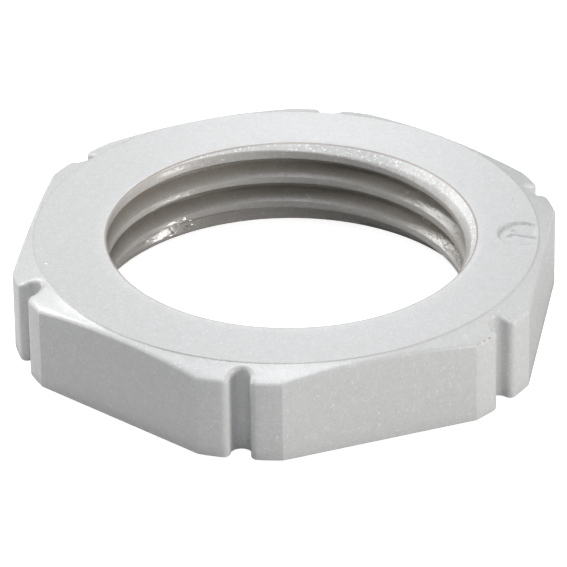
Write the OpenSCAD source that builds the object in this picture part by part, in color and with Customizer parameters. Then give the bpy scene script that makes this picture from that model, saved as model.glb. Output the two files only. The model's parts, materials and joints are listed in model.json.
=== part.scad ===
// Locknut for an M20 x 1.5 cable gland, moulded in one piece.
// The nut lies on its flat side, with the raised washer face up.
// The origin is on the thread's axis, at the underside, and one flat faces +X.
// Lengths are in millimetres and angles in degrees.

/* [Hexagon] */
// Width across the flats
flat_w = 27; // [26:0.5:34]
// Height over all, up to the washer face
nut_h = 5; // [4:0.25:9]
// How far each corner is cut back to a round
corner_cut = 1.1; // [0.6:0.1:1.5]
// Fall of the sloped corner tops
slope_angle = 19.5; // [5:0.5:30]
// Chamfer round the corners' lower edge
foot_chamfer = 0.1; // [0.05:0.05:0.4]

/* [Washer face] */
// Distance from the edge of the washer face out to the middle of a flat
face_margin = 0.3; // [0.1:0.1:1]
// Height of the washer face above the slope
face_step = 0.05; // [0.05:0.05:0.4]

/* [Sunk mark] */
// Diameter of the sunk round mark on the washer face
mark_d = 2.4; // [1.6:0.1:2.6]
// Depth of the mark
mark_depth = 0.15; // [0.05:0.05:0.3]
// Distance of the mark's middle from the washer face's edge
mark_inset = 0.95; // [0.8:0.05:1.2]
// Width of the rim that closes the mark at the washer face's edge
mark_rim = 0.1; // [0.05:0.05:0.3]
// Direction from the axis to the mark
mark_az = 8; // [-15:1:15]

/* [Corner slots] */
// Width of each slot
slot_w = 1.05; // [0.6:0.05:2]
// Depth of each slot, from the round corner in
slot_depth = 1; // [0.8:0.05:2]
// Rounding of the two edges at the mouth of each slot
mouth_r = 0.35; // [0.1:0.05:0.6]

/* [Thread] */
// Nominal diameter of the thread
thread_d = 20; // [16:0.5:21]
// Rise of the thread in one turn
thread_pitch = 1.5; // [1:0.25:2]
// Play that the moulded thread has on every diameter
thread_play = 0.4; // [0:0.1:0.8]
// Direction from the axis in which the top of the groove runs out
runout_az = 330; // [0:5:360]
// Depth of the groove's middle below the washer face, where it has run out
runout_depth = 0.4; // [0.2:0.05:1]
// Arc over which the groove gets shallower until it has run out
runout_arc = 70; // [30:5:120]

/* [Lead-ins] */
// How much wider the upper lead-in is than the crests, on the diameter
top_lead_gain = 0.65; // [0.1:0.05:1]
// Angle between the upper lead-in and the axis
top_lead_angle = 38; // [20:1:60]
// How far the upper lead-in lies off the axis, along X
top_lead_shift = 0.3; // [0:0.05:0.4]
// How much wider the lower lead-in is than the roots, on the diameter
foot_lead_gain = 0.2; // [0.1:0.05:0.6]
// Angle between the lower lead-in and the axis
foot_lead_angle = 45; // [30:1:60]

/* [Hidden] */
$fn = 96;
nut_colour = [0.79, 0.80, 0.80];
sides = 6;
// Overlap of cutting shapes with the faces that they cut through
eps = 0.2;
// The hexagon, with the slope falling from the washer face to the round corners
hex_r = flat_w / 2 / cos(180 / sides);
corner_r = hex_r - corner_cut;
face_r = flat_w / 2 - face_margin;
slope_z = nut_h - face_step;
corner_z = slope_z - (corner_r - face_r) * tan(slope_angle);
// The centres of the mouths' roundings lie this far out, so that the arcs cross the corner at an angle
mouth_lift = 0.02;
// The metric thread: flat crests and roots, with flanks between them
flank_angle = 30;
crest_flat = thread_pitch / 4;
root_flat = thread_pitch / 8;
groove_w = thread_pitch - crest_flat;
thread_depth = (groove_w - root_flat) / 2 / tan(flank_angle);
root_r = (thread_d + thread_play) / 2;
crest_r = root_r - thread_depth;
// The groove's solid starts this far inside the bore, on the flanks' own slope
groove_inset = 0.15;
groove_mouth = groove_w + 2 * groove_inset * tan(flank_angle);
steps_per_turn = 48;
// The groove comes up from below the underside, clear of it
groove_rise = nut_h - runout_depth + groove_mouth / 2 + eps;
groove_steps = ceil(groove_rise / thread_pitch * steps_per_turn);
// The lead-ins
top_lead_r = crest_r + top_lead_gain / 2;
foot_lead_r = root_r + foot_lead_gain / 2;

module locknut() {
    color(nut_colour)
    difference() {
        blank();
        thread_groove();
    }
}

// The nut before its thread is cut
module blank() {
    difference() {
        intersection() {
            side_walls();
            turned_outline();
        }
        bore();
        sunk_mark();
    }
}

// The hexagon with its round corners and their slots
module side_walls() {
    linear_extrude(nut_h)
    difference() {
        intersection() {
            rotate(180 / sides) circle(r = hex_r, $fn = sides);
            circle(r = corner_r);
        }
        for (i = [0 : sides - 1])
            rotate((i + 0.5) * 360 / sides) corner_slot();
    }
}

// One slot, out along +X, with a round inner end and rounded mouth edges
module corner_slot() {
    end_x = corner_r - slot_depth + slot_w / 2;
    translate([end_x, 0]) circle(d = slot_w);
    translate([end_x, -slot_w / 2]) square([corner_r - end_x + eps, slot_w]);
    for (side = [0, 1]) mirror([0, side]) mouth_rounding();
}

// What the rounding takes off the corner beside a slot: its arc starts on the slot's wall
module mouth_rounding() {
    arc_y = slot_w / 2 + mouth_r;
    arc_ray = corner_r - mouth_r + mouth_lift;
    arc_x = sqrt(pow(arc_ray, 2) - pow(arc_y, 2));
    touch = [arc_x, arc_y] * corner_r / arc_ray;
    difference() {
        polygon([
            [arc_x, slot_w / 2 - eps], [touch.x + eps, slot_w / 2 - eps],
            [touch.x + eps, touch.y], touch, [arc_x, arc_y]
        ]);
        translate([arc_x, arc_y]) circle(r = mouth_r);
    }
}

// The turned outline: a chamfered foot, sloped corner tops and the washer face
module turned_outline() {
    rotate_extrude()
    polygon([
        [0, 0], [corner_r - foot_chamfer, 0], [corner_r + eps, foot_chamfer + eps],
        [corner_r + eps, corner_z - eps * tan(slope_angle)], [face_r, slope_z], [face_r, nut_h], [0, nut_h]
    ]);
}

// The sunk mark: a round pocket in the washer face, cut off by the rim
module sunk_mark() {
    translate([0, 0, nut_h - mark_depth])
    intersection() {
        rotate(mark_az) translate([face_r - mark_inset, 0, 0]) cylinder(d = mark_d, h = mark_depth + eps);
        cylinder(r = face_r - mark_rim, h = mark_depth + eps);
    }
}

// The hole at the thread's crests, with a lead-in at each end
module bore() {
    translate([0, 0, -eps]) cylinder(r = crest_r, h = nut_h + 2 * eps);
    translate([top_lead_shift, 0, nut_h]) lead_in(top_lead_r, top_lead_angle);
    mirror([0, 0, 1]) lead_in(foot_lead_r, foot_lead_angle);
}

// A cone as wide as mouth_radius at z = 0, and narrower below, at the given angle to the axis
module lead_in(mouth_radius, angle) {
    cone_h = mouth_radius / tan(angle);
    translate([0, 0, -cone_h]) cylinder(r1 = 0, r2 = mouth_radius + eps * tan(angle), h = cone_h + eps);
}

// How deep the groove is at a step, from 0 where it has run out to 1 where it is full
function groove_share(step) = min(1, (groove_steps - step) * 360 / steps_per_turn / runout_arc);

// The four corners of the groove's section at a step: its solid leaves the wall as it runs out
function groove_ring(step) =
    let (
        turns_left = (groove_steps - step) / steps_per_turn,
        az = runout_az - 360 * turns_left,
        mid_z = nut_h - runout_depth - thread_pitch * turns_left,
        draw_in = (thread_depth + groove_inset / 2) * (1 - groove_share(step)),
        inner_r = crest_r - groove_inset - draw_in,
        outer_r = root_r - draw_in
    )
    [
        for (corner = [[inner_r, groove_mouth / 2], [outer_r, root_flat / 2],
                       [outer_r, -root_flat / 2], [inner_r, -groove_mouth / 2]])
            [corner.x * cos(az), corner.x * sin(az), mid_z + corner.y]
    ];

// The solid that cuts the right-hand thread, as rings of four points along a helix
module thread_groove() {
    last = 4 * groove_steps;
    walls = [
        for (step = [0 : groove_steps - 1], side = [0 : 3])
            let (a = 4 * step + side, b = 4 * step + (side + 1) % 4)
                each [[a, b + 4, b], [a, a + 4, b + 4]]
    ];
    ends = [[0, 1, 2, 3], [last + 3, last + 2, last + 1, last]];
    polyhedron(
        points = [for (step = [0 : groove_steps]) each groove_ring(step)],
        faces = concat(walls, ends)
    );
}

locknut();
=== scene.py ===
# Cable gland locknut in light grey moulded plastic, lying on a white studio floor
import json
import math

import bmesh
import bpy
import numpy as np
from mathutils import Matrix, Vector


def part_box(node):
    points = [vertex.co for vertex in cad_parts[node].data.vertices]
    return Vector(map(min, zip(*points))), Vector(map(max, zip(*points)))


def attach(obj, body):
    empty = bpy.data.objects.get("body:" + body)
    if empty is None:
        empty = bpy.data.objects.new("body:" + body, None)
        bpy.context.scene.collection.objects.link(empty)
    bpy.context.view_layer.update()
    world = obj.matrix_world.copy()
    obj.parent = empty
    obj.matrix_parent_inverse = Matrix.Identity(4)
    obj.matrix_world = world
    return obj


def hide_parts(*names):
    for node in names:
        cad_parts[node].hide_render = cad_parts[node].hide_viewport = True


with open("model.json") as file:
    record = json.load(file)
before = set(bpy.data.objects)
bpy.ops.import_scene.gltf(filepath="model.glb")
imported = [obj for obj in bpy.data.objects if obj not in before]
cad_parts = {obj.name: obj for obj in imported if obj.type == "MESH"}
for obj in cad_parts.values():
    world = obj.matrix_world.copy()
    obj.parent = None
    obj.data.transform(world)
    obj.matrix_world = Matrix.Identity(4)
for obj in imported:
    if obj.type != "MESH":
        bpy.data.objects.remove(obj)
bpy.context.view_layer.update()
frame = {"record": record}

mm = 0.001
packedHigh = [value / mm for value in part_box("locknut")[1]]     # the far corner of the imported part's box
threadMount = next(m for m in frame["record"]["mounts"] if m["name"] == "thread")


# The nut, in millimetres and degrees; its width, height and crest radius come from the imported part. Every
# surface of it is a grid of azimuths round the axis by steps along the section.
nut = {
    "flat": packedHigh[0],              # from the axis to a flat
    "height": packedHigh[2],
    "cornerCut": 1.1,                   # how far the hexagon's corners are cut back
    "slotWidth": 1.05,
    "slotDepth": 1.0,
    "mouthRadius": 0.35,                # rounding beside each slot
    "sideRadius": 0.15,                 # between a corner's arc and the flats
    "faceMargin": 0.3,                  # from the washer face out to a flat
    "faceStep": 0.05,                   # height of the washer face above the slope
    "slopeAngle": 19.5,
    "topRadius": 0.24,                  # rounding of the upper edge
    "footRadius": 0.09,                 # and of the lower one
    "crestRadius": threadMount["dims"]["r_mm"],
    "pitch": 1.5,
    "flankAngle": 30.0,
    "crestSoft": 0.03,                  # softness of the thread's edges
    "rootSoft": 0.08,
    "runoutAzimuth": 330.0,             # where the groove has run out, going up
    "runoutDepth": 0.4,
    "runoutArc": 70.0,
    "runoutLift": 0.075,                # the groove's end lies this far inside the crests
    "leadGain": 0.3,                    # the lead-in's mouth is this much wider than the crests
    "leadAngle": 33.0,
    "leadShift": 0.275,                 # its axis lies this far along X
    "leadRadius": 0.07,                 # rounding of the bore's upper edge
    "footLeadGain": 0.1,                # the lower lead-in is this much wider than the roots
    "footLeadHeight": 0.7,              # up to here it is straight, and above it a cone
    "footLeadAngle": 75.0,
    "footLeadSoft": 0.02,
}
nut["corner"] = nut["flat"] / math.cos(math.radians(30)) - nut["cornerCut"]
nut["face"] = nut["flat"] - nut["faceMargin"]
nut["groove"] = nut["pitch"] * 3 / 4    # the groove's width at the crests; flat crests take the rest
nut["rootFlat"] = nut["pitch"] / 8
nut["flank"] = 1 / math.tan(math.radians(nut["flankAngle"]))    # depth gained for each unit of height
nut["root"] = nut["crestRadius"] + (nut["groove"] - nut["rootFlat"]) / 2 * nut["flank"]

# The sunk round mark on the washer face, with a plain raised bar and foot in it
mark = {
    "azimuth": 8.1,
    "ring": 12.25,                      # its centre's distance from the axis
    "radius": 1.2,
    "depth": 0.18,
    "rim": 0.09,                        # width of the rim left at the washer face's edge
    "soft": 0.035,
    "turn": -11.5,                      # the bar's direction
    "barWidth": 0.2,
    "barHeight": 0.13,
    "footAt": -0.62,
    "footLength": 0.8,
    "arc": (1.4, 14.0),                 # azimuths with a finer mesh
    "arcStep": 0.125,
}

# How fine the mesh is: steps along each stretch of the outline and of the section, and the places of single
# rows, as shares of their stretch or as margins in millimetres
mesh = {
    "slotEnd": 7, "slotWall": 2, "mouth": 5, "cornerArc": 6, "sideRound": 4, "flat": 35,
    "slotMargin": 0.1,                  # degrees that a slot takes up beyond its own width on the inner rings
    "turns": (-2, 5),                   # turns of the groove that a column may cross
    "halvings": 24,                     # steps in which the lead-in's foot is found
    "leadRows": (0, 0.06, 0.4, 0.75),
    "leadRound": 4,
    "leadMargin": 0.02,                 # depth of one more row below the lead-in's foot
    "footLead": 12,
    "beforeMark": 0.45,                 # a row on the washer face, between the bore's edge and the mark
    "markMargin": 0.02,                 # another, this far inside the mark
    "markRows": 30,
    "faceEnd": 0.06,                    # the mark's rows end this far inside the washer face's edge
    "step": [(-0.03, 0), (-0.012, 0.1), (0, 0.35), (0.01, 0.75), (0.022, 1), (0.045, 1.2)],  # out, share down
    "slopeRows": (0.35, 0.7),
    "topRound": 5,
    "wallRows": (0.15, 0.5, 0.85),
    "footRound": 3,
    "undersideEnds": (0.15, 0.06),      # rows this far from the washer face's radius and the lower lead-in
    "mergeWithin": 0.002,               # distance in which points of the grids become one
    "shortestEdge": 0.001,
}


# Points on the unit circle: the cosine and sine of angles in degrees
def turned(angles):
    angles = np.radians(angles)
    return np.stack([np.cos(angles), np.sin(angles)], axis=-1)


# 0 below 0, 1 above 1, and between them three times the square less twice the cube
def smooth(x):
    x = np.clip(x, 0, 1)
    return x * x * (3 - 2 * x)


# The larger of two values; where their gap is less than soft, the square of what it lacks is added, over four
# times soft
def softMax(a, b, soft):
    return np.maximum(a, b) + np.maximum(soft - np.abs(a - b), 0) ** 2 / (4 * soft)


# Half of one corner seen from above, with the slot's middle along X: round the slot's inner end, out along its
# wall, round the mouth, along the corner's arc, over a soft edge and on to the flat's middle. Each rounding is
# an arc that touches both lines beside it.
# Gives points, normals out of the plastic, and the azimuth that each point has on the inner rings.
def halfCorner(n, f):
    half, outer, mouth, side = n["slotWidth"] / 2, n["corner"], n["mouthRadius"], n["sideRadius"]
    endX = outer - n["slotDepth"] + half
    mouthCentre = np.array([math.sqrt((outer - mouth) ** 2 - (half + mouth) ** 2), half + mouth])
    mouthAz = math.degrees(math.atan2(mouthCentre[1], mouthCentre[0]))
    bend = math.degrees(math.acos((n["flat"] - side) / (outer - side)))
    flatAz = math.degrees(math.atan((outer - side) * math.sin(math.radians(bend)) / n["flat"]))
    inner = turned(np.linspace(180, 90, f["slotEnd"] + 1))
    wallX = np.linspace(endX, mouthCentre[0], f["slotWall"] + 1)[1:-1]
    mouthTurn = turned(np.linspace(-90, mouthAz, f["mouth"] + 1))
    arc = turned(np.linspace(mouthAz, 30 - bend, f["cornerArc"] + 1))[1:]
    sideTurn = turned(np.linspace(30 - bend, 30, f["sideRound"] + 1))[1:]
    flatTurn = np.linspace(-flatAz, 0, f["flat"] + 1)[1:]
    alongFlat = n["flat"] * (turned(30) + np.tan(np.radians(flatTurn))[:, None] * turned(120))
    points = np.concatenate([
        [endX, 0] + half * inner,
        np.stack([wallX, np.full_like(wallX, half)], axis=-1),
        mouthCentre + mouth * mouthTurn,
        outer * arc,
        (outer - side) * turned(30 - bend) + side * sideTurn,
        alongFlat,
    ])
    normals = np.concatenate([
        -inner,
        np.tile([0.0, -1.0], (len(wallX), 1)),
        mouthTurn,
        arc,
        sideTurn,
        np.tile(turned(30), (len(alongFlat), 1)),
    ])
    # inside the corner, azimuths are shared out by length, so that no two columns of an inner ring meet
    steps = np.hypot(*np.diff(points, axis=0).T)
    length = np.concatenate([[0], np.cumsum(steps)])
    innerEnd, arcEnd = len(inner) - 1, len(inner) + len(wallX) + len(mouthTurn) + len(arc) - 1
    slotAz = math.degrees(math.asin((half + n["topRadius"]) / n["face"])) + f["slotMargin"]
    azimuth = np.degrees(np.arctan2(points[:, 1], points[:, 0]))
    azimuth[:arcEnd + 1] = np.interp(
        length[:arcEnd + 1], [0, length[innerEnd], length[arcEnd]], [0, slotAz, azimuth[arcEnd]])
    return points, normals, azimuth


# The whole outline: each corner is a half and its mirror image, turned to its place, and the flat that carries
# the mark gets closer points. The first point comes again at 360 degrees.
def nutOutline(n, f, closer):
    points, normals, azimuth = halfCorner(n, f)
    flip = np.array([1, -1])
    points = np.concatenate([points[:0:-1] * flip, points])[:-1]
    normals = np.concatenate([normals[:0:-1] * flip, normals])[:-1]
    azimuth = np.concatenate([-azimuth[:0:-1], azimuth])[:-1]
    turns = np.arange(6) * 60 + 30
    c, s = turned(turns).T[:, :, None]
    spin = lambda v: np.stack([c * v[:, 0] - s * v[:, 1], s * v[:, 0] + c * v[:, 1]], axis=-1).reshape(-1, 2)
    points, normals = spin(points), spin(normals)
    azimuth = (turns[:, None] + azimuth).ravel()
    low, high = closer["arc"]
    extra = np.arange(low, high, closer["arcStep"])
    kept = (azimuth < low) | (azimuth > high)
    alongFlat = n["flat"] * np.stack([np.ones_like(extra), np.tan(np.radians(extra))], axis=-1)
    azimuth = np.concatenate([azimuth[kept], extra])
    points = np.concatenate([points[kept], alongFlat])
    normals = np.concatenate([normals[kept], np.tile([1.0, 0.0], (len(extra), 1))])
    order = np.argsort(azimuth)
    order = np.append(order, order[0])
    azimuth = azimuth[order]
    azimuth[-1] += 360
    return points[order], normals[order], azimuth


# Radius of the groove's root, that many turns before the place where it has run out: full, and then falling in
# a straight line over the last part to just inside the crests
def grooveRoot(n, turnsLeft):
    share = np.clip(turnsLeft * 360 / n["runoutArc"], 0, 1)
    return n["root"] - (n["root"] - n["crestRadius"] + n["runoutLift"]) * (1 - share)


# Radius of the threaded wall at a height: the crest's radius, or the nearest turn of the groove where that is
# deeper. The groove's section has a flat root and straight flanks, and its edges are soft.
def threadRadius(n, azimuth, z):
    top = n["height"] - n["runoutDepth"]
    turnsLeft = (n["runoutAzimuth"] - azimuth) / 360
    turnsLeft = turnsLeft + np.round((top - z) / n["pitch"] - turnsLeft)
    aside = np.abs(top - n["pitch"] * turnsLeft - z)
    outer = grooveRoot(n, turnsLeft)
    flank = outer - (aside - n["rootFlat"] / 2) * n["flank"]
    return softMax(n["crestRadius"] + 0 * z, -softMax(-outer, -flank, n["rootSoft"]), n["crestSoft"])


# Radius of the upper lead-in, a cone whose axis lies a little to one side: how far a line from the nut's own
# axis goes before it meets the cone's circle at that height
def leadRadius(n, azimuth, z):
    cone = n["crestRadius"] + n["leadGain"] - (n["height"] - z) * math.tan(math.radians(n["leadAngle"]))
    along, across = turned(azimuth).T
    return n["leadShift"] * along + np.sqrt(cone ** 2 - (n["leadShift"] * across) ** 2)


# Height at which the lead-in meets the thread, found by halving the span in which they cross
def leadFoot(n, f, azimuth):
    low = np.full_like(azimuth, n["height"] - 2 * n["leadGain"] / math.tan(math.radians(n["leadAngle"])))
    high = np.full_like(azimuth, n["height"])
    for _ in range(f["halvings"]):
        middle = (low + high) / 2
        inThread = threadRadius(n, azimuth, middle) > leadRadius(n, azimuth, middle)
        low, high = np.where(inThread, middle, low), np.where(inThread, high, middle)
    return (low + high) / 2


# The threaded bore: each column of the grid has rows on every edge of the groove, so that the rows climb with
# the thread, and more rows on the lower lead-in. That is a straight wall with a cone above it, and the bore is
# the wider of it and the thread. Rows above the upper lead-in or below the underside lie on its edge.
def boreGrid(n, f, azimuth, topZ):
    turnsLeft = (n["runoutAzimuth"] - azimuth[:, None]) / 360 + np.arange(*f["turns"])
    middle = n["height"] - n["runoutDepth"] - n["pitch"] * turnsLeft
    depth = np.maximum(grooveRoot(n, turnsLeft) - n["crestRadius"], 0)
    crestSpread, rootSpread = n["crestSoft"] / n["flank"], n["rootSoft"] / n["flank"]
    spread = np.array([crestSpread, 0, -crestSpread, rootSpread, 0, -rootSpread])
    edges = n["rootFlat"] / 2 + spread + depth[..., None] / n["flank"] * np.repeat([1, 0], 3)
    rows = np.concatenate([middle[..., None] + edges, middle[..., None] - edges], axis=-1)
    rows = rows.reshape(len(azimuth), -1)
    slant = math.tan(math.radians(n["footLeadAngle"]))
    footMouth = n["root"] + n["footLeadGain"]
    coneHeight = (n["root"] - n["crestRadius"] + n["footLeadGain"]) / slant
    lowRows = n["footLeadHeight"] + np.linspace(0, 1, f["footLead"] + 1) * coneHeight
    lowRows = np.tile(np.append(lowRows, [0, n["footLeadHeight"] / 2]), (len(azimuth), 1))
    rows = np.concatenate([rows, lowRows, topZ[:, None] - f["leadMargin"]], axis=1)
    z = -np.sort(-np.clip(rows, 0, topZ[:, None]), axis=1)
    footLead = footMouth - np.maximum(z - n["footLeadHeight"], 0) * slant
    radius = softMax(threadRadius(n, azimuth[:, None] + 0 * z, z), footLead, n["footLeadSoft"])
    radius[z <= 0] = footMouth
    atTop = z >= topZ[:, None]
    radius[atTop] = np.repeat(leadRadius(n, azimuth, topZ)[:, None], z.shape[1], axis=1)[atTop]
    around = turned(azimuth)[:, None, :] * radius[..., None]
    return np.concatenate([around, z[..., None]], axis=-1)


# How far the washer face is sunk at a point: a round pocket, cut off by a rim at the face's edge, with a bar
# and its foot standing in it. Each edge is a smooth rise over the width soft.
def markDepth(n, m, x, y):
    centre = m["ring"] * turned(m["azimuth"])
    dx, dy = x - centre[0], y - centre[1]
    along, across = turned(m["turn"])
    u, v = dx * along + dy * across, dy * along - dx * across
    within = lambda distance: smooth(distance / m["soft"] + 0.5)
    inside = within(m["radius"] - np.hypot(dx, dy)) * within(n["face"] - m["rim"] - np.hypot(x, y))
    bar = within(m["barWidth"] / 2 - np.abs(v)) * within(u - m["footAt"])
    foot = within(m["barWidth"] / 2 - np.abs(u - m["footAt"])) * within(m["footLength"] / 2 - np.abs(v))
    return inside * (m["depth"] - m["barHeight"] * np.maximum(bar, foot))


# One row of the section all round: a ring with a radius and a height, each fixed or one for every azimuth
def ringRow(azimuth, radius, z):
    radius, z = radius + 0 * azimuth, z + 0 * azimuth
    return np.concatenate([turned(azimuth) * radius[:, None], z[:, None]], axis=-1)


# One row of the section along the outline: points in plan and their heights
def outlineRow(points, z):
    return np.concatenate([points, z[:, None]], axis=1)


# Up the lead-in's cone, and round the bore's upper edge by an arc that touches the cone and the washer face
def leadRows(n, f, azimuth, topZ):
    top, radius = n["height"], n["leadRadius"]
    turn = math.radians(90 - n["leadAngle"])
    setBack = radius * math.tan(turn / 2)
    coneTop = top - setBack * math.cos(math.radians(n["leadAngle"]))
    rows = []
    for share in f["leadRows"]:
        z = topZ + (coneTop - topZ) * share
        rows.append(ringRow(azimuth, leadRadius(n, azimuth, z), z))
    mouth = leadRadius(n, azimuth, np.full_like(azimuth, top))
    for angle in turn * np.linspace(1, 0, f["leadRound"] + 1):
        z = top - radius * (1 - math.cos(angle))
        rows.append(ringRow(azimuth, mouth + setBack - radius * math.sin(angle), z))
    return rows


# Out over the washer face, sunk where the mark is, and down its soft step to the slope
def faceRows(n, f, m, azimuth):
    top = n["height"]
    mouth = leadRadius(n, azimuth, np.full_like(azimuth, top))
    inner = m["ring"] - m["radius"] - m["soft"]
    share = f["beforeMark"]
    rows = [ringRow(azimuth, mouth * (1 - share) + inner * share, top),
            ringRow(azimuth, inner - f["markMargin"], top)]
    for radius in np.linspace(inner, n["face"] - f["faceEnd"], f["markRows"]):
        row = ringRow(azimuth, radius, top)
        row[:, 2] -= markDepth(n, m, row[:, 0], row[:, 1])
        rows.append(row)
    for out, down in f["step"]:
        rows.append(ringRow(azimuth, n["face"] + out, top - down * n["faceStep"]))
    return rows


# Rounding between the wall and the surface above it, in the upright plane across the wall: steps inwards and
# up, from the wall's end of the round to the slope's. rise is the slope's fall outwards, seen across the wall.
# The arc turns through a right angle less the slope's own angle, and its centre lies where it touches both.
def edgeRound(radius, rise, share):
    full = np.pi / 2 - np.arctan(rise)
    angle = share[None, :] * full[:, None]
    inwards = radius * (1 - np.cos(angle))
    up = radius * (rise[:, None] - np.hypot(1, rise)[:, None] + np.sin(angle))
    return inwards, up


# Down the slope, a cone round the nut's axis, from the row before it; over the rounded upper edge, down the
# side wall and round the foot
def sideRows(n, f, points, normals, before):
    fall = math.tan(math.radians(n["slopeAngle"]))
    slopeTop = n["height"] - n["faceStep"]
    distance = np.hypot(*points.T)
    rise = fall * np.sum(points * normals, axis=1) / distance
    wallTop = slopeTop - (distance - n["face"]) * fall
    inwards, up = edgeRound(n["topRadius"], rise, np.linspace(1, 0, f["topRound"] + 1))
    start = points - normals * inwards[:, :1]
    rows = []
    for share in f["slopeRows"]:
        row = before[:, :2] * (1 - share) + start * share
        rows.append(outlineRow(row, slopeTop - (np.hypot(*row.T) - n["face"]) * fall))
    for k in range(inwards.shape[1]):
        rows.append(outlineRow(points - normals * inwards[:, k:k + 1], wallTop + up[:, k]))
    for share in f["wallRows"]:
        rows.append(outlineRow(points, (1 - share) * (wallTop + up[:, -1]) + share * n["footRadius"]))
    for angle in np.linspace(0, np.pi / 2, f["footRound"] + 1):
        z = np.full(len(points), n["footRadius"] * (1 - math.sin(angle)))
        rows.append(outlineRow(points - normals * n["footRadius"] * (1 - math.cos(angle)), z))
    return rows


# Everything outside the thread, as one section: up the lead-in, over the washer face and the slope, down the
# side wall and back under the nut to the lower lead-in
def shellGrid(n, f, m, outline, topZ):
    points, normals, azimuth = outline
    rows = leadRows(n, f, azimuth, topZ) + faceRows(n, f, m, azimuth)
    rows += sideRows(n, f, points, normals, rows[-1])
    footMouth = n["root"] + n["footLeadGain"]
    outerEnd, innerEnd = f["undersideEnds"]
    for radius in (n["face"] - outerEnd, (n["face"] + footMouth) / 2, footMouth + innerEnd, footMouth):
        rows.append(ringRow(azimuth, radius, 0))
    return np.stack(rows, axis=1)


# The four corners of each cell of a grid, as vertex numbers, facing out of the plastic
def gridFaces(grid, offset):
    columns, rows = grid.shape[:2]
    index = offset + np.arange(columns * rows).reshape(columns, rows)
    corners = [index[:-1, :-1], index[1:, :-1], index[1:, 1:], index[:-1, 1:]]
    return np.stack(corners, axis=-1).reshape(-1, 4)


# One mesh from several grids, with their shared edges merged into a closed surface
def meshFromGrids(name, f, grids):
    offsets = np.cumsum([0] + [g.shape[0] * g.shape[1] for g in grids])
    vertices = np.concatenate([g.reshape(-1, 3) for g in grids]) * mm
    faces = np.concatenate([gridFaces(g, o) for g, o in zip(grids, offsets)])
    surface = bpy.data.meshes.new(name)
    surface.from_pydata(vertices.tolist(), [], faces.tolist())
    work = bmesh.new()
    work.from_mesh(surface)
    bmesh.ops.remove_doubles(work, verts=work.verts, dist=f["mergeWithin"] * mm)
    bmesh.ops.dissolve_degenerate(work, edges=work.edges, dist=f["shortestEdge"] * mm)
    if work.calc_volume(signed=True) < 0:
        bmesh.ops.reverse_faces(work, faces=work.faces)
    openEdges = sum(not edge.is_manifold for edge in work.edges)
    print(name, "volume in mm3:", round(work.calc_volume() / mm ** 3, 1), "open edges:", openEdges)
    work.to_mesh(surface)
    work.free()
    surface.polygons.foreach_set("use_smooth", np.ones(len(surface.polygons), bool))
    piece = bpy.data.objects.new(name, surface)
    bpy.context.scene.collection.objects.link(piece)
    return piece


outline = nutOutline(nut, mesh, mark)
leadFootZ = leadFoot(nut, mesh, outline[2])
mouldedNut = meshFromGrids("mouldedNut", mesh, [
    boreGrid(nut, mesh, outline[2], leadFootZ)[:, ::-1],
    shellGrid(nut, mesh, mark, outline, leadFootZ),
])
weighted = mouldedNut.modifiers.new("flatFacesStayFlat", "WEIGHTED_NORMAL")
weighted.mode = "FACE_AREA"
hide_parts("locknut")
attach(mouldedNut, "root")
print("nut:", len(mouldedNut.data.polygons), "faces from", len(outline[2]), "columns")


# Colours and finish of the moulded plastic, with painted shade in the thread and along the edges, and painted
# light and glints on the lead-in and the facets; sizes are in millimetres
plastic = {
    "colour": (0.625, 0.625, 0.622),
    "threadPaintedShade": (0.56, 0.52, 0.47),   # painted shade: the grooves are this much darker and browner
    "leadPaintedLight": 1.3,                    # painted light: the lead-in is this much lighter
    "roughness": 0.24,
    "grainSize": 0.12,                  # of the mould's sparked surface
    "grainDepth": 0.003,
    "boreGrain": 2.5,                   # the grain is this much deeper in the lead-in and the thread
    "grainTone": 0.04,                  # how far the grain lightens and darkens the colour
    "mottleSize": 0.5,
    "mottle": 0.035,                    # the same for the broad mottling
    "flakeSize": 0.085,                 # of the small facets that sparkle
    "flakeTilt": 2.0,
    "boreTilt": 7.0,                    # the same in the lead-in and the thread
    "flakeGlintTone": 0.1,                   # painted glints: the facets that tilt most are this much lighter
    "leadFlakeGlintTone": 0.45,              # the same painted glints on the lead-in
    "lineColour": (0.36, 0.29, 0.24),   # painted shade: of the thin dark lines along the edges
    "lineWidth": 0.07,
    "faceLine": 0.25,                   # strength of the painted shade line along the washer face's edge
    "boreLine": 1.0,                    # and of the one along the bore's upper edge
    "boreLineOut": 0.03,                # how far outside the lead-in's mouth that one lies
    "scuffColour": (0.36, 0.22, 0.14),
    "scuffs": [                         # small brown marks: azimuth, distance from the axis, height, radius
        (321.7, 14.42, 4.44, 0.075), (322.3, 14.44, 4.45, 0.05), (323.6, 14.42, 4.47, 0.06),
        (325.0, 14.43, 4.47, 0.07), (325.4, 14.44, 4.47, 0.045), (327.2, 13.95, 4.62, 0.05),
    ],
}

# How the mould's surface is made up; the spans are of noise and of the facets' squared random length
grainMake = {
    "grainDetail": 2, "grainSpan": (0.25, 0.75),
    "mottleDetail": 5, "mottleRoughness": 0.75, "mottleSpan": (0.3, 0.7),
    "flakePower": 3.0,                  # the higher, the fewer facets tilt strongly
    "flakeLimit": 0.5,                  # no facet tilts more
    "flakeSpan": (0.36, 0.5),           # facets with the least and the full painted glint
    "scuffSize": 1.6,                   # reach of a small mark, in its radius and the noise together
}

# Where the finish, the painted shade in the thread and the painted light on the lead-in change. Each span is in
# millimetres, from where a mask is 0 to where it is 1.
zones = {
    "bore": (0.15, 0.05),               # outside the thread's roots
    "belowFace": (-0.01, -0.06),        # from the washer face
    "thread": (-0.4, -0.9),
    "leadFoot": (-0.5, -0.4),
    "lead": (0.02, 0.06),               # outside the crests
    "topCrestShade": 0.8,                    # share of the thread's painted shade on the uppermost crest
    "groove": (-0.05, 0.5),             # outside the crests; the painted shade deepens over this span
    "crestShadeShare": 0.6,                   # share of the painted shade on the crests
    "lines": -0.15,                     # the thin lines of painted shade lie above this
}


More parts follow.
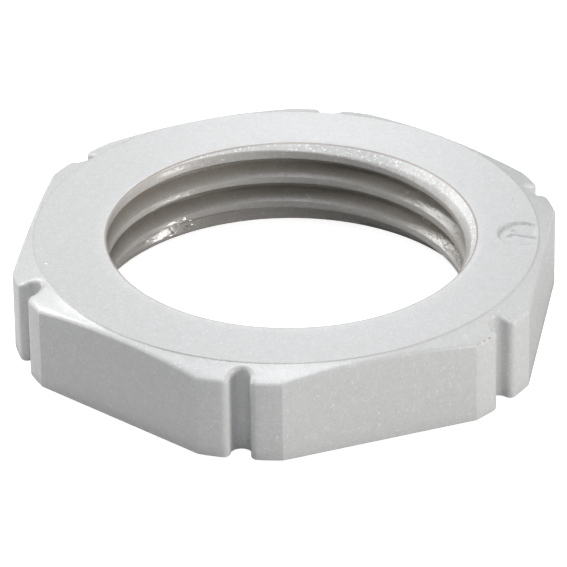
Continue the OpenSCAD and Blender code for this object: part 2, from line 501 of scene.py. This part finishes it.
# Gives a socket a fixed value, or links it to another node's output
def feed(tree, socket, value):
    if isinstance(value, bpy.types.NodeSocket):
        tree.links.new(value, socket)
    else:
        socket.default_value = value


# A node with its settings, and its inputs by name or number
def addNode(tree, kind, inputs=None, **settings):
    node = tree.nodes.new(kind)
    for setting, value in settings.items():
        setattr(node, setting, value)
    for name, value in (inputs or {}).items():
        feed(tree, node.inputs[name], value)
    return node


# The result of one step of arithmetic on numbers and sockets
def calc(tree, operation, *values, clamp=False):
    node = addNode(tree, "ShaderNodeMath", dict(enumerate(values)), operation=operation, use_clamp=clamp)
    return node.outputs[0]


# The same on vectors; lengths, distances and dot products come out as numbers
def vectorCalc(tree, operation, *values):
    node = addNode(tree, "ShaderNodeVectorMath", dict(enumerate(values)), operation=operation)
    return node.outputs["Value" if operation in ("LENGTH", "DISTANCE", "DOT_PRODUCT") else "Vector"]


# A vector times a number
def scaled(tree, vector, amount):
    node = addNode(tree, "ShaderNodeVectorMath", {0: vector, "Scale": amount}, operation="SCALE")
    return node.outputs["Vector"]


# Several values multiplied one after another
def product(tree, first, *others):
    for value in others:
        first = calc(tree, "MULTIPLY", first, value)
    return first


# A value carried in a straight line from the span low to high to the span start to end, and held within it
def ramp(tree, value, low, high, start=0.0, end=1.0):
    inputs = {"Value": value, "From Min": low, "From Max": high, "To Min": start, "To Max": end}
    return addNode(tree, "ShaderNodeMapRange", inputs).outputs[0]


# One colour laid over another by a share from 0 to 1
def layColour(tree, share, under, over, blend="MIX"):
    inputs = {"Factor": share, "A": under, "B": (*over, 1)}
    return addNode(tree, "ShaderNodeMix", inputs, data_type="RGBA", blend_type=blend).outputs["Result"]


# A node group with named sockets, built once for any material; gives it, its inputs and its results
def makeGroup(name, inputs, outputs):
    group = bpy.data.node_groups.new(name, "ShaderNodeTree")
    for socket, kind, value in inputs:
        made = group.interface.new_socket(name=socket, in_out="INPUT", socket_type=kind)
        if value is not None:
            made.default_value = value
    for socket, kind in outputs:
        group.interface.new_socket(name=socket, in_out="OUTPUT", socket_type=kind)
    return group, group.nodes.new("NodeGroupInput").outputs, group.nodes.new("NodeGroupOutput").inputs


# The sparked surface of a mould, as it shows on the plastic: fine grain and broad mottling, both as noise, and
# small facets, one for each cell of a random pattern. A facet tilts by its cell's random vector, times the tilt
# and a power of that vector's squared length, up to a limit, so that a few tilt far more than the rest. Glint
# Flakes rises to 1 on those few, and marks where painted glints lighten the colour.
def makeGrainGroup(g):
    group, given, result = makeGroup("mouldGrain", [
        ("Vector", "NodeSocketVector", None),
        ("Grain Scale", "NodeSocketFloat", 1000.0),
        ("Mottle Scale", "NodeSocketFloat", 100.0),
        ("Flake Scale", "NodeSocketFloat", 1000.0),
        ("Flake Tilt", "NodeSocketFloat", 0.5),
    ], [
        ("Height", "NodeSocketFloat"),
        ("Mottle", "NodeSocketFloat"),
        ("Glint Flakes", "NodeSocketFloat"),
        ("Normal", "NodeSocketVector"),
    ])
    grain = addNode(group, "ShaderNodeTexNoise", {
        "Vector": given["Vector"], "Scale": given["Grain Scale"], "Detail": g["grainDetail"]})
    mottle = addNode(group, "ShaderNodeTexNoise", {
        "Vector": given["Vector"], "Scale": given["Mottle Scale"],
        "Detail": g["mottleDetail"], "Roughness": g["mottleRoughness"]})
    cells = addNode(group, "ShaderNodeTexVoronoi", {"Vector": given["Vector"], "Scale": given["Flake Scale"]})
    random = vectorCalc(group, "SUBTRACT", cells.outputs["Color"], (0.5, 0.5, 0.5))
    square = vectorCalc(group, "DOT_PRODUCT", random, random)
    steep = calc(group, "MULTIPLY", calc(group, "POWER", square, g["flakePower"]), given["Flake Tilt"])
    tilt = scaled(group, random, calc(group, "MINIMUM", steep, g["flakeLimit"]))
    surface = addNode(group, "ShaderNodeNewGeometry")
    tilted = vectorCalc(group, "NORMALIZE", vectorCalc(group, "ADD", surface.outputs["Normal"], tilt))
    feed(group, result["Height"], grain.outputs["Fac"])
    feed(group, result["Mottle"], mottle.outputs["Fac"])
    feed(group, result["Glint Flakes"], ramp(group, square, *g["flakeSpan"]))
    feed(group, result["Normal"], tilted)
    return group


# A thin line on a circle round an upright axis: 1 less the distance from the circle over the line's width, held
# between 0 and 1
def makeLineGroup():
    group, given, result = makeGroup("circleLine", [
        ("Vector", "NodeSocketVector", None),
        ("Centre", "NodeSocketVector", (0.0, 0.0, 0.0)),
        ("Radius", "NodeSocketFloat", 0.01),
        ("Width", "NodeSocketFloat", 0.0001),
    ], [("Mask", "NodeSocketFloat")])
    centred = vectorCalc(group, "SUBTRACT", given["Vector"], given["Centre"])
    radius = vectorCalc(group, "LENGTH", vectorCalc(group, "MULTIPLY", centred, (1, 1, 0)))
    off = calc(group, "ABSOLUTE", calc(group, "SUBTRACT", radius, given["Radius"]))
    share = calc(group, "DIVIDE", off, given["Width"])
    feed(group, result["Mask"], calc(group, "SUBTRACT", 1.0, share, clamp=True))
    return group


# A small mark with a ragged outline: its reach, less the distance from its centre in radii and less a noise
# round 0.5 that comes in as Rough, held between 0 and 1
def makeSpotGroup(g):
    group, given, result = makeGroup("spot", [
        ("Vector", "NodeSocketVector", None),
        ("Centre", "NodeSocketVector", (0.0, 0.0, 0.0)),
        ("Radius", "NodeSocketFloat", 0.0001),
        ("Rough", "NodeSocketFloat", 0.5),
    ], [("Mask", "NodeSocketFloat")])
    off = vectorCalc(group, "DISTANCE", given["Vector"], given["Centre"])
    ragged = calc(group, "ADD", calc(group, "DIVIDE", off, given["Radius"]), given["Rough"])
    feed(group, result["Mask"], calc(group, "SUBTRACT", g["scuffSize"], ragged, clamp=True))
    return group


# Masks of the bore, the lead-in, the thread and the upper side. Each is a product of ramps over the distance
# from the axis and over the height; the thread's, which carries the painted shade, is weaker on the crests, and
# weaker still on the uppermost.
def makeZones(tree, place, n, z):
    apart = addNode(tree, "ShaderNodeSeparateXYZ", {0: place})
    fromAxis = vectorCalc(tree, "LENGTH", vectorCalc(tree, "MULTIPLY", place, (1, 1, 0)))
    span = lambda start, ends: [(start + end) * mm for end in ends]
    height = lambda name: ramp(tree, apart.outputs["Z"], *span(n["height"], z[name]))
    near = ramp(tree, fromAxis, *span(n["root"], z["bore"]))
    below = height("belowFace")
    bore = calc(tree, "MULTIPLY", near, below)
    lead = product(tree, bore, height("leadFoot"), ramp(tree, fromAxis, *span(n["crestRadius"], z["lead"])))
    crests = ramp(tree, fromAxis, *span(n["crestRadius"], z["lead"][::-1]), 0, z["topCrestShade"])
    inside = calc(tree, "MAXIMUM", height("thread"), calc(tree, "MULTIPLY", crests, below))
    groove = ramp(tree, fromAxis, *span(n["crestRadius"], z["groove"]), z["crestShadeShare"], 1)
    onTop = calc(tree, "GREATER_THAN", apart.outputs["Z"], (n["height"] + z["lines"]) * mm)
    return {"bore": bore, "lead": lead, "thread": product(tree, near, inside, groove), "top": onTop}


# How light each spot is: the mottling, the grain, the painted light on the lead-in and the painted glints on
# the tilted facets, each a factor round 1, multiplied
def makeTone(tree, p, g, grain, zone):
    mottle = ramp(tree, grain["Mottle"], *g["mottleSpan"], 1 - p["mottle"], 1 + p["mottle"])
    fine = ramp(tree, grain["Height"], *g["grainSpan"], 1 - p["grainTone"], 1 + p["grainTone"])
    # painted light on the lead-in
    lead = ramp(tree, zone["lead"], 0, 1, 1, p["leadPaintedLight"])
    flakeGlint = ramp(tree, zone["lead"], 0, 1, p["flakeGlintTone"], p["leadFlakeGlintTone"])
    # painted glints: the most tilted facets are lighter in colour
    sparkle = calc(tree, "MULTIPLY_ADD", grain["Glint Flakes"], flakeGlint, 1.0)
    return product(tree, mottle, fine, lead, sparkle)


# Mask of the painted shade along the washer face's edge and the bore's upper edge, drawn as thin brownish
# lines: the stronger of the two, on the upper side only
def makeEdgeShade(tree, place, p, n, zone):
    group = makeLineGroup()
    boreEdge = n["crestRadius"] + n["leadGain"] + p["boreLineOut"]
    lines = [(0, n["face"], p["faceLine"]), (n["leadShift"], boreEdge, p["boreLine"])]
    masks = []
    for centre, radius, strength in lines:
        line = addNode(tree, "ShaderNodeGroup", {
            "Vector": place, "Centre": (centre * mm, 0, 0),
            "Radius": radius * mm, "Width": p["lineWidth"] * mm,
        }, node_tree=group)
        masks.append(calc(tree, "MULTIPLY", line.outputs["Mask"], strength))
    return calc(tree, "MULTIPLY", calc(tree, "MAXIMUM", *masks), zone["top"])


# Mask of the small brown marks on the upper edge beside one slot: the strongest of them at each place
def makeScuffs(tree, place, p, g, grain):
    group = makeSpotGroup(g)
    spots = None
    for azimuth, distance, z, radius in p["scuffs"]:
        spot = addNode(tree, "ShaderNodeGroup", {
            "Vector": place, "Rough": grain["Height"],
            "Centre": (*(distance * mm * turned(azimuth)), z * mm), "Radius": radius * mm,
        }, node_tree=group).outputs["Mask"]
        spots = spot if spots is None else calc(tree, "MAXIMUM", spots, spot)
    return spots


# The plastic: its colour times the tone, which holds painted light and painted glints, darkened by painted
# shade in the thread, with the painted shade lines along the edges and the small brown marks over it, and the
# grain and the facets as its relief
def makePlastic(p, g, n, z):
    material = bpy.data.materials.new("lightGreyPlastic")
    material.use_nodes = True
    tree = material.node_tree
    shader = tree.nodes["Principled BSDF"]
    place = addNode(tree, "ShaderNodeTexCoord").outputs["Object"]
    zone = makeZones(tree, place, n, z)
    grain = addNode(tree, "ShaderNodeGroup", {
        "Vector": place,
        "Grain Scale": 1 / (p["grainSize"] * mm),
        "Mottle Scale": 1 / (p["mottleSize"] * mm),
        "Flake Scale": 1 / (p["flakeSize"] * mm),
        "Flake Tilt": ramp(tree, zone["bore"], 0, 1, p["flakeTilt"], p["boreTilt"]),
    }, node_tree=makeGrainGroup(g)).outputs
    # the tone carries the painted light on the lead-in and the painted glints on the facets
    colour = scaled(tree, p["colour"], makeTone(tree, p, g, grain, zone))
    # painted shade: the thread's mask darkens and browns the grooves and, less, the crests
    colour = layColour(tree, zone["thread"], colour, p["threadPaintedShade"], "MULTIPLY")
    # painted shade: thin brownish lines along the edges
    colour = layColour(tree, makeEdgeShade(tree, place, p, n, zone), colour, p["lineColour"])
    colour = layColour(tree, makeScuffs(tree, place, p, g, grain), colour, p["scuffColour"])
    relief = calc(tree, "MULTIPLY", grain["Height"], ramp(tree, zone["bore"], 0, 1, 1, p["boreGrain"]))
    bump = addNode(tree, "ShaderNodeBump", {
        "Strength": 1, "Distance": p["grainDepth"] * mm, "Height": relief, "Normal": grain["Normal"]})
    feed(tree, shader.inputs["Base Color"], colour)
    feed(tree, shader.inputs["Roughness"], p["roughness"])
    feed(tree, shader.inputs["Normal"], bump.outputs[0])
    return material


mouldedNut.data.materials.append(makePlastic(plastic, grainMake, nut, zones))
print("plastic done")


# The floor and the world round it; sizes are in metres, here and in what follows
studio = {
    "floorSize": 0.6,
    "floorDrop": 0.02 * mm,             # the floor lies this far below the nut, so that the two don't touch
    "floorColour": (0.55, 0.55, 0.55),
    "floorLift": 0.85,                  # light that the floor adds for the camera alone
    "ambient": 0.02,                    # the world's light on the object; the camera sees it as white
}

# The camera stands where the photograph was taken from: at a distance from the origin in the direction of its
# turn and tilt, and then moved aside and above, as seen in the picture
view = {
    "turn": 9.97, "tilt": 30.3, "roll": -0.827, "distance": 0.29468,
    "aside": -0.000194, "above": 0.001649, "lens": 355.4, "sensor": 36, "clip": (0.01, 10),
}

# Each lamp's turn, tilt, distance, size, power and colour. The turn is measured from the right-hand side of the
# picture, as seen from above, and the tilt is its height above the horizon. A lamp with a tilt below 0 is the
# mirror image that a lamp has in a glossy table.
cool, plain, warm, rosy = (0.95, 0.975, 1.0), (1, 1, 1), (1.0, 0.985, 0.96), (1, 0.95, 0.93)
lamps = {
    "overhead": (90, 70, 0.3, 0.08, 0.12, cool),
    "overLeft": (118, 60, 0.3, 0.08, 0.07, cool),
    "zenith": (0, 89, 0.3, 0.16, 0.25, cool),
    "frontTop": (270, 70, 0.3, 0.16, 0.13, cool),
    "frontLamp": (270, 46, 0.3, 0.05, 0.09, cool),
    "rearPanel": (88.5, 28.5, 0.16, 0.028, 0.007, cool),
    "softLeft": (142, 43, 0.15, 0.04, 0.075, plain),
    "sparkle": (119, 46, 0.3, 0.04, 0.03, plain),
    "leftSide": (180, 30, 0.3, 0.16, 0.22, warm),
    "leftRearLow": (150, 5, 0.3, 0.12, 0.15, warm),
    "rightMid": (345, 14, 0.3, 0.12, 0.12, warm),
    "rightRear": (20, 12, 0.3, 0.12, 0.06, warm),
    "rightFrontLow": (326, 5, 0.3, 0.12, 0.46, warm),
    "tableImage": (350, -30, 0.3, 0.03, 0.3, rosy),
}

# A flag under the floor, square to the light of the lamp there: it leaves only the way to the bore's wall open.
# Its outline is given in metres, down and to one side of that light's middle.
flag = {
    "lamp": "tableImage",
    "distance": 0.03,
    "outline": [
        (-0.015, -0.02), (0.02, -0.02), (0.02, 0.001), (-0.003, 0.001), (-0.003, 0.02), (-0.015, 0.02),
    ],
}


# The white floor: plain paint, and added to it a glow that has the lift's strength for the camera's rays and
# none for others
def makeFloor(s):
    bpy.ops.mesh.primitive_plane_add(size=s["floorSize"], location=(0, 0, -s["floorDrop"]))
    floor = bpy.context.object
    floor.name = "studioFloor"
    material = bpy.data.materials.new("whiteFloor")
    material.use_nodes = True
    tree = material.node_tree
    tree.nodes.clear()
    path = addNode(tree, "ShaderNodeLightPath")
    paint = addNode(tree, "ShaderNodeBsdfDiffuse", {"Color": (*s["floorColour"], 1)})
    glow = addNode(tree, "ShaderNodeEmission", {
        "Strength": calc(tree, "MULTIPLY", path.outputs["Is Camera Ray"], s["floorLift"])})
    both = addNode(tree, "ShaderNodeAddShader", {0: paint.outputs[0], 1: glow.outputs[0]})
    addNode(tree, "ShaderNodeOutputMaterial", {"Surface": both.outputs[0]})
    floor.data.materials.append(material)
    floor.visible_shadow = False        # so that the lamp under it shines through


# The world: white at full strength for the camera's rays and those through clear things, and at the ambient
# strength for all others
def makeWorld(s):
    world = bpy.data.worlds.new("studioWorld")
    bpy.context.scene.world = world
    world.use_nodes = True
    tree = world.node_tree
    path = addNode(tree, "ShaderNodeLightPath")
    shows = calc(tree, "MAXIMUM", path.outputs["Is Camera Ray"], path.outputs["Is Transmission Ray"])
    background = tree.nodes["Background"]
    feed(tree, background.inputs["Color"], (1, 1, 1, 1))
    feed(tree, background.inputs["Strength"], ramp(tree, shows, 0, 1, s["ambient"], 1))


# A round area lamp that looks at the nut. Its direction from the origin has the turn's cosine and sine, both
# times the tilt's cosine, and the tilt's sine for its height.
def makeLamp(name, turn, tilt, distance, size, power, colour):
    lamp = bpy.data.lights.new(name, "AREA")
    lamp.shape = "DISK"
    lamp.size, lamp.energy, lamp.color = size, power, colour
    lamp.cycles.use_multiple_importance_sampling = tilt > 0
    holder = bpy.data.objects.new(name, lamp)
    level, height = turned(tilt)
    direction = Vector((*(turned(turn) * level), height))
    holder.location = direction * distance
    holder.rotation_mode = "QUATERNION"
    holder.rotation_quaternion = direction.to_track_quat("Z", "Y")
    bpy.context.scene.collection.objects.link(holder)


# A flat sheet with the flag's outline: tipped by a right angle less the tilt and turned, so that it faces the
# lamp, and moved towards it
def makeFlag(f, turn, tilt):
    corners = [(down, aside, 0) for down, aside in f["outline"]]
    outlineMesh = bpy.data.meshes.new("lampFlag")
    outlineMesh.from_pydata(corners, [], [range(len(corners))])
    sheet = bpy.data.objects.new("lampFlag", outlineMesh)
    bpy.context.scene.collection.objects.link(sheet)
    facing = Matrix.Rotation(math.radians(turn), 4, "Z") @ Matrix.Rotation(math.radians(90 - tilt), 4, "Y")
    sheet.matrix_world = facing @ Matrix.Translation((0, 0, f["distance"]))


# The camera: rolled about its own line of sight, tipped by a right angle less the tilt and turned round the
# nut's axis, and in its own axes moved aside, above and back
def makeCamera(v):
    camera = bpy.data.cameras.new("photoCamera")
    camera.lens, camera.sensor_width = v["lens"], v["sensor"]
    camera.clip_start, camera.clip_end = v["clip"]
    holder = bpy.data.objects.new("photoCamera", camera)
    facing = (Matrix.Rotation(math.radians(v["turn"]), 4, "Z")
              @ Matrix.Rotation(math.radians(90 - v["tilt"]), 4, "X")
              @ Matrix.Rotation(math.radians(v["roll"]), 4, "Z"))
    holder.matrix_world = facing @ Matrix.Translation((v["aside"], v["above"], v["distance"]))
    bpy.context.scene.collection.objects.link(holder)
    bpy.context.scene.camera = holder


makeFloor(studio)
makeWorld(studio)
for name, (turn, *rest) in lamps.items():
    makeLamp(name, turn + view["turn"], *rest)
flagTurn, flagTilt = lamps[flag["lamp"]][:2]
makeFlag(flag, flagTurn + view["turn"], flagTilt)
makeCamera(view)
bpy.context.scene.view_settings.view_transform = "Standard"
print("studio done")
